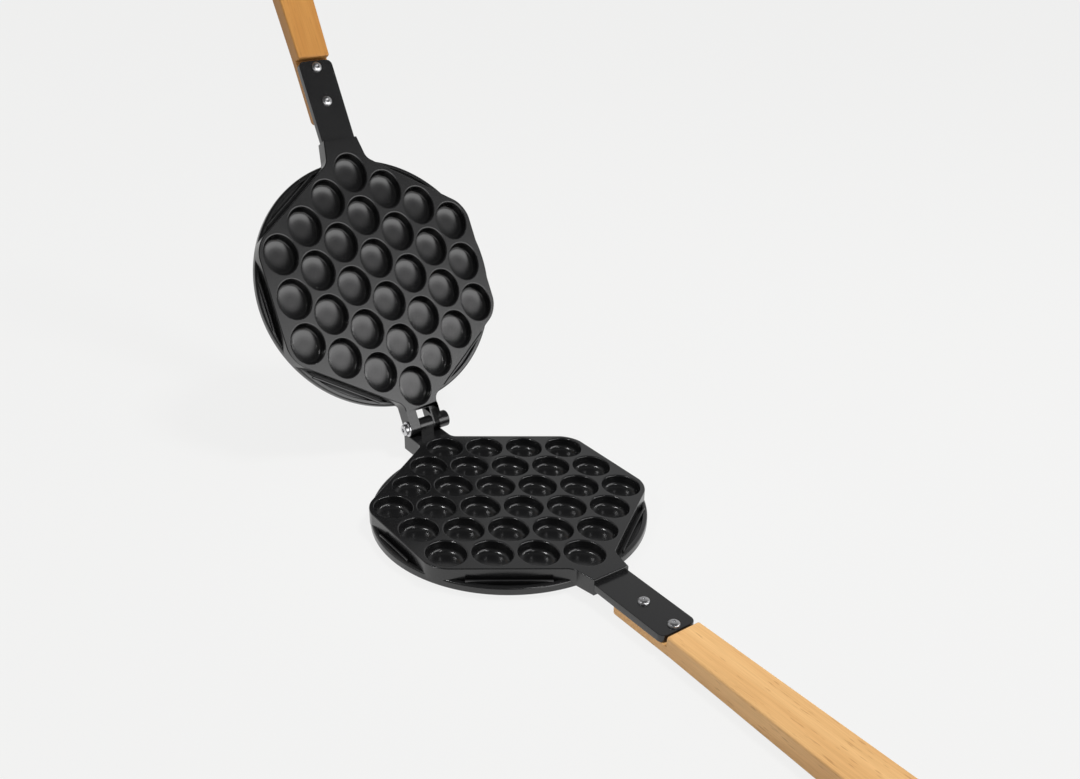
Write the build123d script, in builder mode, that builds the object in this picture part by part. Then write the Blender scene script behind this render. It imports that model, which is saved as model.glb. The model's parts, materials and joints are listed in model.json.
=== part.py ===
from build123d import *
from math import asin, cos, hypot, pi, radians, sin
import os

os.makedirs("parts", exist_ok=True)

# Cell pattern: columns of oval cells that together fill a hexagon
cell_pitch = 33.0
column_pitch = 23.7
columns_each_side = 3
cells_on_axis = 6
cell_half_width = 12.3
cell_half_length = 14.4
cell_depth = 9.0
cell_wall = 3.0
bowl_sides = 8
bowl_bands = 2
bump_sides = 6
bump_bands = 1
bottom_angle = 72.0

# Plateau: the raised hexagon that holds the cells
side_land = 4.0
slant_land = 3.55
corner_radius = 20.0
plateau_edge = 0.7
slab_thickness = 6.0

# Disc under the plateau, with a rim, a foot and a rib along each side of the hexagon
crescent_width = 9.0
rim_drop = 8.0
pocket_drop = 10.5
ring_drop = 13.5
plate_depth = 16.5
rim_width = 3.4
rim_edge = 1.6
foot_inset = 6.0
foot_width = 4.5
rib_offset = 2.6
rib_width = 1.4
rib_drop = 6.2

# Neck and tang at the handle's end of each plate
neck_reach = 15.0
neck_half_width = 13.5
neck_root_half_width = 16.5
neck_depth = 11.5
neck_fillet = 8.0
tang_length = 61.5
tang_half_width = 13.4
tang_drop = 3.2
tang_thickness = 5.0
tang_corner = 4.5

# Hinge: a knuckle on the lower plate between two ears on the upper one
hinge_reach = 18.0
parting_gap = 0.4
ear_radius = 5.6
open_angle = 120.7
arm_half_width = 13.5
arm_fillet = 6.0
arm_overhang = 6.5
fork_depth = 12.0
knuckle_width = 10.6
side_play = 0.3
slot_clearance = 5.9
boss_radius = 6.2
boss_length = 6.0
boss_edge = 1.0

# Hinge bolt and its washer
bolt_radius = 2.5
bolt_play = 0.05
bolt_head_radius = 4.3
bolt_head_height = 3.2
bolt_end_wall = 2.0
socket_radius = 1.7
socket_depth = 1.6
washer_radius = 5.6
washer_thickness = 1.0

# Wooden handles, each with a tongue behind its tang
handle_length = 191.6
handle_drop = 1.5
handle_gap = 2.0
handle_root_thickness = 13.0
handle_end_thickness = 14.6
handle_root_half_width = 12.6
handle_end_half_width = 16.0
handle_edge = 2.5
handle_end_corner = 7.0
tongue_length = 47.5
tongue_corner = 3.0
shoulder_edge = 1.5

# Screws through tang and tongue, and the six-sided cap nuts that hold them
screw_end_distance = 5.2
screw_spacing = 26.3
screw_radius = 2.0
screw_head_radius = 3.8
screw_head_height = 2.1
screw_play = 0.1
screw_tip_gap = 0.8
nut_radius = 4.5
nut_thickness = 4.2
nut_inset = 0.3
nut_end_wall = 0.9

# One overrun serves every cut that runs out of its piece
overrun = 1.0

# Bowl of a cell: an egg shape about an axis along the cell, its centre above the face
bowl_radius = (cell_half_width**2 + cell_depth**2) / (2 * cell_depth)
bowl_centre = bowl_radius - cell_depth
bowl_length_share = cell_half_length / cell_half_width
point_shift_share = 0.5

# Hexagon: two straight sides, and four slanted ones along the outer cells
corner_cell_x = columns_each_side * column_pitch
corner_cell_y = (cells_on_axis - columns_each_side - 1) / 2 * cell_pitch
axis_cell_y = (cells_on_axis - 1) / 2 * cell_pitch
slant_run = hypot(corner_cell_x, axis_cell_y - corner_cell_y)
slant_x_share = (axis_cell_y - corner_cell_y) / slant_run
slant_y_share = corner_cell_x / slant_run
slant_reach = hypot(cell_half_width * slant_x_share, cell_half_length * slant_y_share)
slant_distance = axis_cell_y * slant_y_share + slant_reach + slant_land
side_distance = corner_cell_x + cell_half_width + side_land
ring_radius = slant_distance + crescent_width
foot_radius = ring_radius - foot_inset
recess_radius = foot_radius - foot_width

# Places along a plate, from its centre
neck_end = ring_radius + neck_reach
tang_end = neck_end + tang_length
shoulder = tang_end + handle_gap
tongue_end = shoulder - tongue_length
handle_end = shoulder + handle_length
outer_screw = tang_end - screw_end_distance
inner_screw = outer_screw - screw_spacing
hinge_y = ring_radius + hinge_reach
arm_end = hinge_y + arm_overhang
slot_root = hinge_y - ear_radius - slot_clearance
slot_half_width = knuckle_width / 2 + side_play

# Heights, and drops below a parting face
hinge_rise = parting_gap + ear_radius
hinge_z = plate_depth + hinge_rise
tang_back = tang_drop + tang_thickness
handle_back = handle_drop + handle_root_thickness
nut_seat = handle_back - nut_inset - nut_thickness
nut_bore_end = handle_back - nut_inset - nut_end_wall
screw_tip = nut_bore_end - screw_tip_gap

# Parting faces: local Z leaves the face and local Y runs to the hinge
lower_face = Plane((0, 0, plate_depth), x_dir=(1, 0, 0), z_dir=(0, 0, 1))
shut_face = Plane((0, 0, plate_depth + parting_gap), x_dir=(-1, 0, 0), z_dir=(0, 0, -1))
to_hinge = Location((0, hinge_y, hinge_z))
from_hinge = Location((0, -hinge_y, -hinge_z))
opening = to_hinge * Location((0, 0, 0), (-open_angle, 0, 0)) * from_hinge
upper_face = Plane(opening * shut_face.location)

# Hinge axis, and the plane through it in which turned pieces are drawn
hinge_axis = Axis((0, hinge_y, hinge_z), (1, 0, 0))
hinge_section = Plane((0, hinge_y, hinge_z), x_dir=(1, 0, 0), z_dir=(0, -1, 0))


def section_of(face, y=0):
    """Return the plane across a face at y, its X and Y being width and height."""
    return Plane(face.from_local_coords((0, y, 0)), x_dir=face.x_dir, z_dir=-face.y_dir)


def side_of(face, x=0):
    """Return the plane along a face at x, its X and Y being length and height."""
    return Plane(face.from_local_coords((x, 0, 0)), x_dir=face.y_dir, z_dir=face.x_dir)


def axis_of(face, y=0):
    """Return the axis square to a face at y."""
    return Axis(face.from_local_coords((0, y, 0)), face.z_dir)


def slant_y(x, distance):
    """Return y at x on a line along a slanted side, at a distance from the centre."""
    return (distance - x * slant_x_share) / slant_y_share


def hexagon(outset):
    """Return the corners of the plateau's hexagon with its sides moved out by outset."""
    side = side_distance + outset
    slant = slant_distance + outset
    corner = slant_y(side, slant)
    tip = slant_y(0, slant)
    return [(side, corner), (0, tip), (-side, corner), (-side, -corner), (0, -tip), (side, -corner)]


def cell_places():
    """Return the centres of the cells, column by column."""
    places = []
    for column in range(-columns_each_side, columns_each_side + 1):
        count = cells_on_axis - abs(column)
        for row in range(count):
            places.append((column * column_pitch, (row - (count - 1) / 2) * cell_pitch))
    return places


def egg_points(wall, top, sides, bands):
    """Return rings of points on the lower part of a cell's egg shape.

    The shape is thicker all round by wall, its first ring lies top below the parting face,
    and its last ring is the flat bottom.
    """
    radius = bowl_radius + wall
    first = asin((bowl_centre + top) / radius)
    last = radians(bottom_angle)
    points = []
    for band in range(bands + 1):
        angle = first + (last - first) * band / bands
        half_width = radius * cos(angle)
        half_length = half_width * bowl_length_share
        height = bowl_centre - radius * (1 if band == bands else sin(angle))
        for side in range(sides):
            turn = 2 * pi * (side + point_shift_share) / sides
            points.append((half_width * cos(turn), half_length * sin(turn), height))
    return points


def bowl_points():
    """Return the points of the cut for one cell, carried on above the parting face."""
    points = egg_points(0, 0, bowl_sides, bowl_bands)
    collar = [(x, y, overrun) for x, y, _ in points[:bowl_sides]]
    return points + collar


def cast_plate():
    """Return a cast plate facing up, with its neck, tang and the root of its hinge arm."""
    face = Plane.XY
    with BuildPart() as casting:
        # Disc, rim and foot
        with BuildSketch(section_of(face)):
            with BuildLine():
                Polyline(
                    (0, -pocket_drop),
                    (ring_radius - rim_width, -pocket_drop),
                    (ring_radius - rim_width, -rim_drop),
                    (ring_radius - rim_edge, -rim_drop),
                    (ring_radius, -rim_drop - rim_edge),
                    (ring_radius, -ring_drop),
                    (foot_radius, -ring_drop),
                    (foot_radius, -plate_depth),
                    (0, -plate_depth),
                    close=True,
                )
            make_face()
        revolve(axis=axis_of(face))

        # Ribs along the sides of the hexagon, ending at the rim
        with BuildSketch(face.offset(-pocket_drop)):
            Polygon(*hexagon(rib_offset + rib_width / 2), align=None)
            Polygon(*hexagon(rib_offset - rib_width / 2), align=None, mode=Mode.SUBTRACT)
            Circle(ring_radius - rim_edge, mode=Mode.INTERSECT)
        extrude(amount=pocket_drop - rib_drop)

        # Plateau, with the neck and the hinge arm level with it
        with BuildSketch(face) as plateau:
            Polygon(*hexagon(0), align=None)
            Polygon(
                (neck_root_half_width, -slant_y(neck_root_half_width, slant_distance)),
                (neck_half_width, -neck_end),
                (-neck_half_width, -neck_end),
                (-neck_root_half_width, -slant_y(neck_root_half_width, slant_distance)),
                align=None,
            )
            Rectangle(2 * arm_half_width, slot_root, align=(Align.CENTER, Align.MIN))
            side_corners = plateau.vertices().filter_by(lambda v: abs(v.X) > corner_cell_x)
            fillet(side_corners, corner_radius)
            neck_roots = plateau.vertices().filter_by(
                lambda v: -neck_end + overrun < v.Y < -axis_cell_y and abs(v.X) < corner_cell_x
            )
            fillet(neck_roots, neck_fillet)
            arm_roots = plateau.vertices().filter_by(
                lambda v: axis_cell_y < v.Y < slot_root - overrun and abs(v.X) < corner_cell_x
            )
            fillet(arm_roots, arm_fillet)
        extrude(amount=-pocket_drop)
        upper_edges = casting.faces().sort_by(axis_of(face))[-1].edges()
        chamfer(upper_edges, plateau_edge)

        # Full depth of neck and arm
        with BuildSketch(face.offset(-pocket_drop)):
            Polygon(
                (neck_root_half_width, -slant_y(neck_root_half_width, slant_distance)),
                (neck_half_width, -neck_end),
                (-neck_half_width, -neck_end),
                (-neck_root_half_width, -slant_y(neck_root_half_width, slant_distance)),
                align=None,
            )
        extrude(amount=pocket_drop - neck_depth)
        with BuildSketch(face.offset(-pocket_drop)):
            with Locations((0, recess_radius)):
                Rectangle(2 * arm_half_width, slot_root - recess_radius, align=(Align.CENTER, Align.MIN))
        extrude(amount=pocket_drop - fork_depth)

        # Tang, a step below the neck
        with BuildSketch(face.offset(-tang_drop)) as tang:
            with Locations((0, -neck_end)):
                Rectangle(2 * tang_half_width, tang_length, align=(Align.CENTER, Align.MAX))
            fillet(tang.vertices().sort_by(Axis.Y)[:2], tang_corner)
        extrude(amount=-tang_thickness)
        with BuildSketch(face.offset(-tang_drop)):
            with Locations((0, -inner_screw), (0, -outer_screw)):
                Circle(screw_radius + screw_play)
        extrude(amount=-tang_thickness, mode=Mode.SUBTRACT)

        # Recess inside the foot, with the bumps of the cells in it
        with BuildSketch(face.offset(-slab_thickness)):
            Circle(recess_radius)
        extrude(amount=slab_thickness - plate_depth, mode=Mode.SUBTRACT)
        with Locations(*cell_places()):
            bump_top = slab_thickness - overrun
            ConvexPolyhedron(egg_points(cell_wall, bump_top, bump_sides, bump_bands))

        # Cells
        with Locations(*cell_places()):
            ConvexPolyhedron(bowl_points(), mode=Mode.SUBTRACT)
    return casting.part


def handle(face):
    """Return a wooden handle with its tongue, on the back of a plate's tang."""
    with BuildPart() as grip:
        # Profile seen from the side
        with BuildSketch(side_of(face, -handle_end_half_width)):
            Polygon(
                (-shoulder, -handle_drop),
                (-handle_end, -handle_drop),
                (-handle_end, -handle_drop - handle_end_thickness),
                (-shoulder, -handle_back),
                (-tongue_end, -handle_back),
                (-tongue_end, -tang_back),
                (-shoulder, -tang_back),
                align=None,
            )
        extrude(amount=2 * handle_end_half_width)

        # Outline seen from the plate's face
        with BuildSketch(face) as outline:
            Polygon(
                (handle_root_half_width, -tongue_end),
                (handle_root_half_width, -shoulder),
                (handle_end_half_width, -handle_end),
                (-handle_end_half_width, -handle_end),
                (-handle_root_half_width, -shoulder),
                (-handle_root_half_width, -tongue_end),
                align=None,
            )
            chamfer(outline.vertices().sort_by(Axis.Y)[:2], handle_end_corner)
            chamfer(outline.vertices().sort_by(Axis.Y)[-2:], tongue_corner)
        extrude(amount=-plate_depth, mode=Mode.INTERSECT)

        # Softened shoulder and rounded long edges
        along = Axis(face.origin, face.y_dir)
        front = grip.faces().sort_by(axis_of(face))[-1]
        chamfer(front.edges().sort_by(along)[-1], shoulder_edge)
        slopes = grip.edges().filter_by(lambda e: e.length > handle_length / 2)
        fillet(slopes, handle_edge)

        # Holes for the screws and, from the back, for their nuts
        with BuildSketch(face.offset(-tang_back)):
            with Locations((0, -inner_screw), (0, -outer_screw)):
                Circle(screw_radius + screw_play)
        extrude(amount=tang_back - nut_seat, mode=Mode.SUBTRACT)
        with BuildSketch(face.offset(-nut_seat)):
            with Locations((0, -inner_screw), (0, -outer_screw)):
                RegularPolygon(nut_radius + screw_play, 6)
        extrude(amount=nut_seat - handle_back, mode=Mode.SUBTRACT)
    return grip.part


def screw(face, distance):
    """Return a handle screw, its head on the tang at a distance from the plate's centre."""
    with BuildPart() as bolt:
        with BuildSketch(section_of(face, -distance)):
            Polygon(
                (0, screw_head_height - tang_drop),
                (screw_head_radius, screw_head_height - tang_drop),
                (screw_head_radius, -tang_drop),
                (screw_radius, -tang_drop),
                (screw_radius, -screw_tip),
                (0, -screw_tip),
                align=None,
            )
        revolve(axis=axis_of(face, -distance))
    return bolt.part


def cap_nut(face, distance):
    """Return a six-sided cap nut let into the back of the handle, on the end of a screw."""
    with BuildPart() as nut:
        with BuildSketch(face.offset(-nut_seat)):
            with Locations((0, -distance)):
                RegularPolygon(nut_radius, 6)
        extrude(amount=-nut_thickness)
        with BuildSketch(face.offset(-nut_seat)):
            with Locations((0, -distance)):
                Circle(screw_radius + bolt_play)
        extrude(amount=nut_seat - nut_bore_end, mode=Mode.SUBTRACT)
    return nut.part


# Both plates come from one pattern, and differ at the hinge
casting = cast_plate()

# Lower plate: the arm is a solid block, and the knuckle stands on it
with BuildPart() as lower_plate:
    with BuildSketch(lower_face):
        with Locations((0, slot_root)):
            Rectangle(2 * arm_half_width, arm_end - slot_root, align=(Align.CENTER, Align.MIN))
    extrude(amount=-ring_drop)
    with BuildSketch(side_of(lower_face, -knuckle_width / 2)):
        with Locations((hinge_y, hinge_rise)):
            Circle(ear_radius)
        with Locations((hinge_y, 0)):
            Rectangle(2 * ear_radius, hinge_rise, align=(Align.CENTER, Align.MIN))
    extrude(amount=knuckle_width)
    with BuildSketch(side_of(lower_face, -knuckle_width / 2)):
        with Locations((hinge_y, hinge_rise)):
            Circle(bolt_radius + bolt_play)
    extrude(amount=knuckle_width, mode=Mode.SUBTRACT)
    with Locations(lower_face):
        add(casting)
lower_plate.part.label = "lower_plate"
export_step(lower_plate.part, "parts/lower_plate.step")

# Upper plate: the arm ends in a fork, whose ears turn on the bolt and stop the lid open.
# With the lid open, the flat of each ear lies along the top of the lower arm.
stop_turn = radians(open_angle) - pi / 2
stop_y = hinge_y + ear_radius * cos(stop_turn)
stop_drop = ear_radius + ear_radius * sin(stop_turn)
stop_run = (fork_depth - stop_drop) * sin(stop_turn) / cos(stop_turn)
with BuildPart() as upper_plate:
    with BuildSketch(side_of(upper_face, -arm_half_width)):
        with Locations((hinge_y, -ear_radius)):
            Circle(ear_radius)
        Polygon(
            (slot_root, 0),
            (hinge_y, 0),
            (hinge_y, -ear_radius),
            (stop_y, -stop_drop),
            (stop_y - stop_run, -fork_depth),
            (slot_root, -fork_depth),
            align=None,
        )
    extrude(amount=2 * arm_half_width)
    with BuildSketch(hinge_section):
        Polygon(
            (arm_half_width, 0),
            (arm_half_width, boss_radius),
            (arm_half_width + boss_length - boss_edge, boss_radius),
            (arm_half_width + boss_length, boss_radius - boss_edge),
            (arm_half_width + boss_length, 0),
            align=None,
        )
    revolve(axis=hinge_axis)
    with BuildSketch(upper_face.offset(overrun)):
        with Locations((0, slot_root)):
            Rectangle(
                2 * slot_half_width,
                hinge_y - slot_root + boss_radius + overrun,
                align=(Align.CENTER, Align.MIN),
            )
    extrude(amount=-fork_depth - 2 * overrun, mode=Mode.SUBTRACT)
    with BuildSketch(side_of(upper_face, arm_half_width)):
        with Locations((hinge_y, -ear_radius)):
            Circle(bolt_radius + bolt_play)
    extrude(amount=-2 * arm_half_width - boss_length + bolt_end_wall, mode=Mode.SUBTRACT)
    with Locations(upper_face):
        add(casting)
upper_plate.part.label = "upper_plate"
export_step(upper_plate.part, "parts/upper_plate.step")

# Hinge bolt, turned about the hinge axis, with its head outside the left ear
head_seat = -arm_half_width - washer_thickness
with BuildPart() as hinge_bolt:
    with BuildSketch(hinge_section):
        Polygon(
            (head_seat - bolt_head_height, 0),
            (head_seat - bolt_head_height, bolt_head_radius),
            (head_seat, bolt_head_radius),
            (head_seat, bolt_radius),
            (arm_half_width + boss_length - bolt_end_wall - bolt_play, bolt_radius),
            (arm_half_width + boss_length - bolt_end_wall - bolt_play, 0),
            align=None,
        )
    revolve(axis=hinge_axis)
    with BuildSketch(Plane((head_seat - bolt_head_height, hinge_y, hinge_z), z_dir=(1, 0, 0))):
        RegularPolygon(socket_radius, 6)
    extrude(amount=socket_depth, mode=Mode.SUBTRACT)
hinge_bolt.part.label = "hinge_bolt"
export_step(hinge_bolt.part, "parts/hinge_bolt.step")

with BuildPart() as hinge_washer:
    with BuildSketch(Plane((head_seat, hinge_y, hinge_z), z_dir=(1, 0, 0))):
        Circle(washer_radius)
        Circle(bolt_radius + bolt_play, mode=Mode.SUBTRACT)
    extrude(amount=washer_thickness)
hinge_washer.part.label = "hinge_washer"
export_step(hinge_washer.part, "parts/hinge_washer.step")

# Handles, screws and nuts, alike on both plates
for level, face in (("lower", lower_face), ("upper", upper_face)):
    with BuildPart() as wooden_handle:
        add(handle(face))
    wooden_handle.part.label = level + "_handle"
    export_step(wooden_handle.part, "parts/" + level + "_handle.step")
    for place, distance in (("inner", inner_screw), ("outer", outer_screw)):
        with BuildPart() as handle_screw:
            add(screw(face, distance))
        handle_screw.part.label = level + "_" + place + "_screw"
        export_step(handle_screw.part, "parts/" + level + "_" + place + "_screw.step")
        with BuildPart() as handle_nut:
            add(cap_nut(face, distance))
        handle_nut.part.label = level + "_" + place + "_nut"
        export_step(handle_nut.part, "parts/" + level + "_" + place + "_nut.step")
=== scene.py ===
import json
import logging
import math
from collections.abc import Callable
from dataclasses import dataclass, field
from enum import Enum

import bmesh
import bpy
from mathutils import Matrix, Vector


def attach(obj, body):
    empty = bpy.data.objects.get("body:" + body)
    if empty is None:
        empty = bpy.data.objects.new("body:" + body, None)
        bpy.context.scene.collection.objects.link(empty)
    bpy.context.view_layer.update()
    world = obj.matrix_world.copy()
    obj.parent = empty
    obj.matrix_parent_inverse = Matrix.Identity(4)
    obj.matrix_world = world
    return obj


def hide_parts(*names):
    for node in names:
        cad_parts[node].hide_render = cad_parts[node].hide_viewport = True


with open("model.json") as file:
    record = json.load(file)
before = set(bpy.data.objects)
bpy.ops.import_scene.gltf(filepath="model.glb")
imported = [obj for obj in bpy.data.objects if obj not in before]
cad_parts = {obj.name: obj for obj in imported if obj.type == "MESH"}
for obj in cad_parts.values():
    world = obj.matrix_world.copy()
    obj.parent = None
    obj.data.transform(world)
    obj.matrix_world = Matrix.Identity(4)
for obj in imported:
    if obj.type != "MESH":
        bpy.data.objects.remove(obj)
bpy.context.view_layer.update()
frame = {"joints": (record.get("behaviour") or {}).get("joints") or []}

log = logging.getLogger("bubble_waffle_maker")

MM = 0.001
HINGE = frame["joints"][0]


class Selecting(Enum):
    """What a selection in edit mode is made of."""

    POINTS = "VERT"
    EDGES = "EDGE"
    FACES = "FACE"


class Joining(Enum):
    """How one solid is joined to another."""

    FUSE = "UNION"
    CUT = "DIFFERENCE"
    KEEP = "INTERSECT"


@dataclass(frozen=True)
class PlateSizes:
    """Sizes of a cast plate in millimetres, drops measured down from its parting face."""

    cell_pitch: float = 33.0
    column_pitch: float = 23.7
    columns_each_side: int = 3
    cells_on_axis: int = 6
    cell_half_width: float = 12.3
    cell_half_length: float = 14.4
    cell_depth: float = 9.0
    cell_rim: float = 1.0
    cell_fullness: float = 4.8
    bump_half_width: float = 14.2
    bump_depth: float = 12.0
    bump_fullness: float = 3.0
    side_land: float = 4.0
    slant_land: float = 3.55
    corner_radius: float = 20.0
    plateau_edge: float = 0.7
    slab: float = 6.0
    crescent: float = 9.0
    rim_drop: float = 8.0
    pocket_drop: float = 10.5
    ring_drop: float = 13.5
    depth: float = 16.5
    rim_width: float = 3.4
    rim_edge: float = 1.6
    foot_inset: float = 6.0
    foot_width: float = 4.5
    rib_offset: float = 2.6
    rib_width: float = 1.4
    rib_drop: float = 6.2
    neck_reach: float = 15.0
    neck_half_width: float = 13.5
    neck_root_half_width: float = 16.5
    neck_depth: float = 11.5
    neck_fillet: float = 8.0
    tang_length: float = 61.5
    tang_half_width: float = 13.4
    tang_drop: float = 3.2
    tang_thickness: float = 5.0
    tang_corner: float = 4.5
    hinge_reach: float = 18.0
    parting_gap: float = 0.4
    ear_radius: float = 5.6
    arm_half_width: float = 13.5
    arm_fillet: float = 6.0
    arm_overhang: float = 6.5
    fork_depth: float = 12.0
    knuckle_width: float = 10.6
    side_play: float = 0.3
    slot_clearance: float = 5.9
    boss_radius: float = 6.2
    boss_length: float = 6.0
    bolt_radius: float = 2.5
    bolt_play: float = 0.05
    bolt_end_wall: float = 2.0
    screw_radius: float = 2.0
    screw_play: float = 0.1
    screw_end_distance: float = 5.2
    screw_spacing: float = 26.3
    soft_edge: float = 0.5

    @property
    def slant_run(self) -> float:
        """Length of a slanted side from its corner cell to the cell on the axis."""
        return math.hypot(self.corner_cell_x, self.axis_cell_y - self.corner_cell_y)

    @property
    def corner_cell_x(self) -> float:
        """X of the cells at the side corners."""
        return self.columns_each_side * self.column_pitch

    @property
    def corner_cell_y(self) -> float:
        """Y of the cells at the side corners."""
        return (self.cells_on_axis - self.columns_each_side - 1) / 2 * self.cell_pitch

    @property
    def axis_cell_y(self) -> float:
        """Y of the last cell on the axis."""
        return (self.cells_on_axis - 1) / 2 * self.cell_pitch

    @property
    def slant_x(self) -> float:
        """X share of a slanted side's normal."""
        return (self.axis_cell_y - self.corner_cell_y) / self.slant_run

    @property
    def slant_y(self) -> float:
        """Y share of a slanted side's normal."""
        return self.corner_cell_x / self.slant_run

    @property
    def slant_distance(self) -> float:
        """Distance of a slanted side from the centre."""
        reach = math.hypot(self.cell_half_width * self.slant_x, self.cell_half_length * self.slant_y)
        return self.axis_cell_y * self.slant_y + reach + self.slant_land

    @property
    def side_distance(self) -> float:
        """Distance of a straight side from the centre."""
        return self.corner_cell_x + self.cell_half_width + self.side_land

    @property
    def ring_radius(self) -> float:
        """Outer radius of the disc."""
        return self.slant_distance + self.crescent

    @property
    def foot_radius(self) -> float:
        """Outer radius of the foot."""
        return self.ring_radius - self.foot_inset

    @property
    def recess_radius(self) -> float:
        """Radius of the recess inside the foot."""
        return self.foot_radius - self.foot_width

    @property
    def neck_end(self) -> float:
        """Distance of the neck's end from the centre."""
        return self.ring_radius + self.neck_reach

    @property
    def tang_end(self) -> float:
        """Distance of the tang's end from the centre."""
        return self.neck_end + self.tang_length

    @property
    def hinge_y(self) -> float:
        """Distance of the hinge axis from the centre."""
        return self.ring_radius + self.hinge_reach

    @property
    def hinge_rise(self) -> float:
        """Height of the hinge axis above the lower parting face."""
        return self.parting_gap + self.ear_radius

    @property
    def arm_end(self) -> float:
        """Distance of the lower arm's end from the centre."""
        return self.hinge_y + self.arm_overhang

    @property
    def slot_root(self) -> float:
        """Distance of the fork slot's root from the centre."""
        return self.hinge_y - self.ear_radius - self.slot_clearance

    @property
    def outer_screw(self) -> float:
        """Distance of the outer handle screw from the centre."""
        return self.tang_end - self.screw_end_distance

    @property
    def inner_screw(self) -> float:
        """Distance of the inner handle screw from the centre."""
        return self.outer_screw - self.screw_spacing

    @property
    def bowl_length_share(self) -> float:
        """Length of a cell as a share of its width."""
        return self.cell_half_length / self.cell_half_width

    def slant_at(self, x: float, distance: float) -> float:
        """Return y at x on a line along a slanted side.

        Args:
            x: Distance from the plate's axis.
            distance: Distance of the line from the centre.

        Returns:
            The y coordinate there.
        """
        return (distance - x * self.slant_x) / self.slant_y

    def cell_places(self) -> list[tuple[float, float]]:
        """Return the centres of the cells, column by column."""
        places = []
        for column in range(-self.columns_each_side, self.columns_each_side + 1):
            count = self.cells_on_axis - abs(column)
            for row in range(count):
                places.append((column * self.column_pitch, (row - (count - 1) / 2) * self.cell_pitch))
        return places


PLATE = PlateSizes()


class Level(Enum):
    """The lower plate, which rests on its foot, and the upper one, which is the lid."""

    LOWER = "lower"
    UPPER = "upper"

    def facing(self) -> Matrix:
        """Return the transform from a flat plate in millimetres to its place in the model."""
        scale = Matrix.Scale(MM, 4)
        if self is Level.LOWER:
            return scale @ Matrix.Translation((0, 0, PLATE.depth))
        hinge = Vector((0, PLATE.hinge_y, PLATE.depth + PLATE.hinge_rise))
        opening = Matrix.Rotation(-math.radians(HINGE["range_deg"][1]), 4, "X")
        turned = Matrix.Translation(hinge) @ opening @ Matrix.Translation(-hinge)
        shut = Matrix.Translation((0, 0, PLATE.depth + PLATE.parting_gap)) @ Matrix.Rotation(math.pi, 4, "Y")
        return scale @ turned @ shut


def free_bench() -> None:
    """Leave edit mode and select nothing."""
    if bpy.context.object is not None and bpy.context.object.mode != "OBJECT":
        bpy.ops.object.mode_set(mode="OBJECT")
    bpy.ops.object.select_all(action="DESELECT")


def take_up(piece: bpy.types.Object, editing: bool = False) -> None:
    """Make a piece the only one that is selected, and active.

    Args:
        piece: The piece to take up.
        editing: Whether to go into edit mode.
    """
    free_bench()
    piece.select_set(True)
    bpy.context.view_layer.objects.active = piece
    if editing:
        bpy.ops.object.mode_set(mode="EDIT")


def pick(piece: bpy.types.Object, what: Selecting, wanted: Callable[[list[Vector]], bool]) -> None:
    """Select points, edges or faces in edit mode by where their corners are.

    Args:
        piece: The piece in edit mode.
        what: What is selected.
        wanted: Says for the corner places of one of them whether it is selected.
    """
    bpy.ops.mesh.select_mode(type=what.value)
    bpy.ops.mesh.select_all(action="DESELECT")
    shape = bmesh.from_edit_mesh(piece.data)
    if what is Selecting.POINTS:
        for point in shape.verts:
            point.select = wanted([point.co])
    else:
        for item in shape.edges if what is Selecting.EDGES else shape.faces:
            if wanted([point.co for point in item.verts]):
                item.select_set(True)
    shape.select_flush_mode()
    bmesh.update_edit_mesh(piece.data)


def block(name: str, low: tuple[float, float, float], high: tuple[float, float, float],
          edge: float = 0.0, steps: int = 2) -> bpy.types.Object:
    """Make a block from a cube, with rounded edges.

    Args:
        name: Name of the piece.
        low: Its lowest corner.
        high: Its highest corner.
        edge: How far the rounding of its edges reaches.
        steps: Number of faces across the rounding.

    Returns:
        The block.
    """
    free_bench()
    centre = [(a + b) / 2 for a, b in zip(low, high)]
    bpy.ops.mesh.primitive_cube_add(size=1, location=centre, scale=[b - a for a, b in zip(low, high)])
    piece = bpy.context.object
    piece.name = name
    bpy.ops.object.transform_apply(location=True, rotation=True, scale=True)
    if edge:
        bpy.ops.object.mode_set(mode="EDIT")
        bpy.ops.mesh.select_all(action="SELECT")
        bpy.ops.mesh.bevel(offset=edge, segments=steps, affect="EDGES")
        bpy.ops.object.mode_set(mode="OBJECT")
    return piece


def turned(name: str, profile: list[tuple[float, float]], sides: int) -> bpy.types.Object:
    """Turn a solid about Z by raising and resizing a disc from point to point of a profile.

    Args:
        name: Name of the piece.
        profile: Radius and height of each step.
        sides: Number of sides round the axis.

    Returns:
        The closed solid.
    """
    free_bench()
    radius, height = profile[0]
    bpy.ops.mesh.primitive_circle_add(vertices=sides, radius=radius, fill_type="NGON", location=(0, 0, height))
    piece = bpy.context.object
    piece.name = name
    bpy.ops.object.transform_apply(location=True, rotation=True, scale=True)
    bpy.ops.object.mode_set(mode="EDIT")
    bpy.ops.mesh.select_all(action="SELECT")
    for next_radius, next_height in profile[1:]:
        bpy.ops.mesh.extrude_region_move(TRANSFORM_OT_translate={"value": (0, 0, next_height - height)})
        share = next_radius / radius
        bpy.ops.transform.resize(value=(share, share, 1), center_override=(0, 0, next_height))
        radius, height = next_radius, next_height
    bpy.ops.mesh.select_all(action="SELECT")
    bpy.ops.mesh.normals_make_consistent(inside=False)
    bpy.ops.object.mode_set(mode="OBJECT")
    return piece


def arc(centre: tuple[float, float], radius: float, start: float, end: float, steps: int) -> list[tuple[float, float]]:
    """Return points on an arc of a profile.

    Args:
        centre: Radius and height of the arc's centre.
        radius: The arc's radius.
        start: First angle in degrees.
        end: Last angle in degrees.
        steps: Number of steps between them.

    Returns:
        Radius and height of each point.
    """
    angles = [math.radians(start + (end - start) * step / steps) for step in range(steps + 1)]
    return [(centre[0] + radius * math.cos(a), centre[1] + radius * math.sin(a)) for a in angles]


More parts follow.
